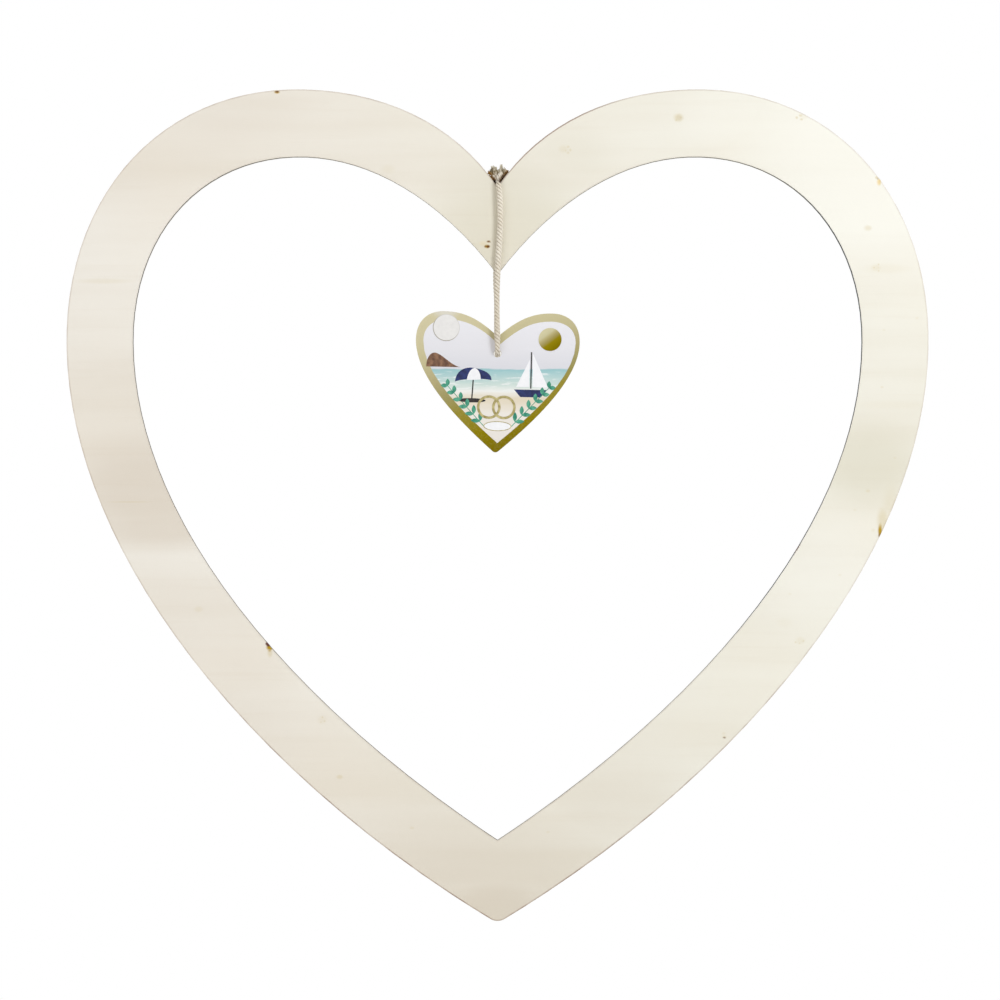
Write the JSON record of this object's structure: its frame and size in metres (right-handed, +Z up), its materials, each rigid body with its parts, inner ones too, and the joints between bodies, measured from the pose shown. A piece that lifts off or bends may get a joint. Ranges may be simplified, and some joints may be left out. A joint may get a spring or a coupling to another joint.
{
  "type": "heart shaped photo frame",
  "caption": "Large flat plywood heart with a heart-shaped opening to pose behind, and a twisted cotton cord over its top notch carrying a swinging heart-shaped card tag.",
  "frame": {"origin": "bottom of the top notch, in the middle of the plywood's thickness, where a hanging cord seats", "axes": "+X to the viewer's right, the front face towards -Y, +Z up"},
  "size_m": [0.8, 0.0244, 0.7717],
  "materials": {
    "face_veneer": "matte",
    "core_veneer": "matte",
    "cotton_cord": "matte",
    "greyboard": "matte",
    "printed_paper": "satin",
    "plain_paper": "matte",
    "white_paper": "satin",
    "gold_foil": "satin"
  },
  "bodies": {
    "frame": {"front_veneer": "face_veneer", "core_veneer": "core_veneer", "back_veneer": "face_veneer"},
    "cord_loop": {"hanging_cord": "cotton_cord", "cord_knot": "cotton_cord", "cord_tail_left": "cotton_cord", "cord_tail_right": "cotton_cord"},
    "tag": {"tag_board": "greyboard", "tag_print": "printed_paper", "tag_backing": "plain_paper", "white_sticker": "white_paper", "gold_sticker": "gold_foil"}
  },
  "joints": [
    {"name": "loop_swing", "type": "hinge", "parent": "frame", "child": "cord_loop", "pos_m": [0, 0, 0.0077], "axis": [0, 1, 0], "range_deg": [-35, 35]},
    {"name": "tag_swing", "type": "hinge", "parent": "cord_loop", "child": "tag", "pos_m": [0, 0, -0.1545], "axis": [0, 1, 0], "range_deg": [-60, 60]}
  ]
}
